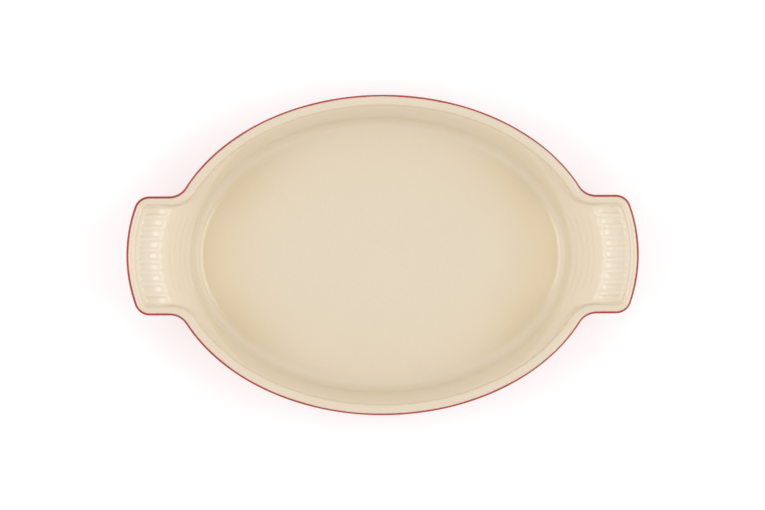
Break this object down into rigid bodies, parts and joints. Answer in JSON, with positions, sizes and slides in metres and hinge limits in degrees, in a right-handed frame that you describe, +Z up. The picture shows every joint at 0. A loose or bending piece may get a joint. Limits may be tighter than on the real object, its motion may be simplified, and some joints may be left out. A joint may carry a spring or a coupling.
{
  "type": "gratin dish",
  "caption": "Oval glazed stoneware gratin dish with a shallow basin, a rounded rim, a fluted tab handle at each end and a bare foot ring.",
  "frame": {"origin": "centre of the flat face of the foot ring, on the surface that the dish stands on", "axes": "+Z up, +X along the long axis from the left handle to the right handle, +Y across the dish"},
  "size_m": [0.28, 0.175, 0.048],
  "materials": {
    "stoneware": "matt, bare fired clay",
    "cream_glaze": "gloss",
    "red_glaze": "gloss"
  },
  "bodies": {
    "root": {"stoneware_body": "stoneware", "left_handle": "stoneware", "right_handle": "stoneware", "foot_ring": "stoneware", "inner_glaze": "cream_glaze", "outer_glaze": "red_glaze", "base_glaze": "red_glaze"}
  },
  "joints": []
}
